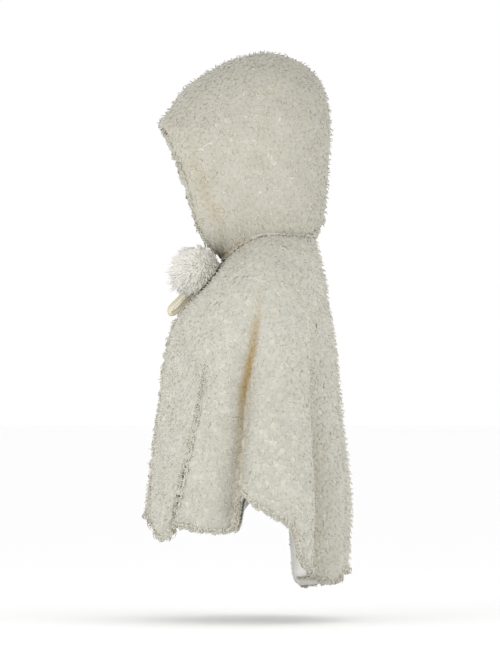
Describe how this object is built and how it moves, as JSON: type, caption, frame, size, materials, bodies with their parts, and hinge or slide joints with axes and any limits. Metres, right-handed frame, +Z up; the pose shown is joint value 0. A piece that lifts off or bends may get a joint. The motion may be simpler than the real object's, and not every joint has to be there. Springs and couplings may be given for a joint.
{
  "type": "hooded cape",
  "caption": "Short hooded cape in curly pile with satin lining, arm slits and a ribbon bow with pompoms, in its hollow worn form.",
  "frame": {"origin": "middle of the neck, where the wearer's shoulders carry the cape", "axes": "-Y the way the wearer faces, +X the wearer's left, +Z up"},
  "size_m": [0.5534, 0.4148, 1.0726],
  "materials": {
    "pile": "curly pile",
    "satin": "satin",
    "ribbon": "satin",
    "long_fur": "long straight hair"
  },
  "bodies": {
    "root": {"hood_left": "pile", "hood_right": "pile", "front_left": "pile", "front_right": "pile", "side_left": "pile", "side_right": "pile", "back": "pile", "lining_front_left": "satin", "lining_front_right": "satin", "lining_side_left": "satin", "lining_side_right": "satin", "lining_back": "satin", "bow_knot": "ribbon", "tie_left": "ribbon", "tie_right": "ribbon", "bow_loop_left": "ribbon", "bow_loop_right": "ribbon", "bow_tail_left": "ribbon", "bow_tail_right": "ribbon", "pompom_left": "long_fur", "pompom_right": "long_fur"}
  },
  "joints": []
}
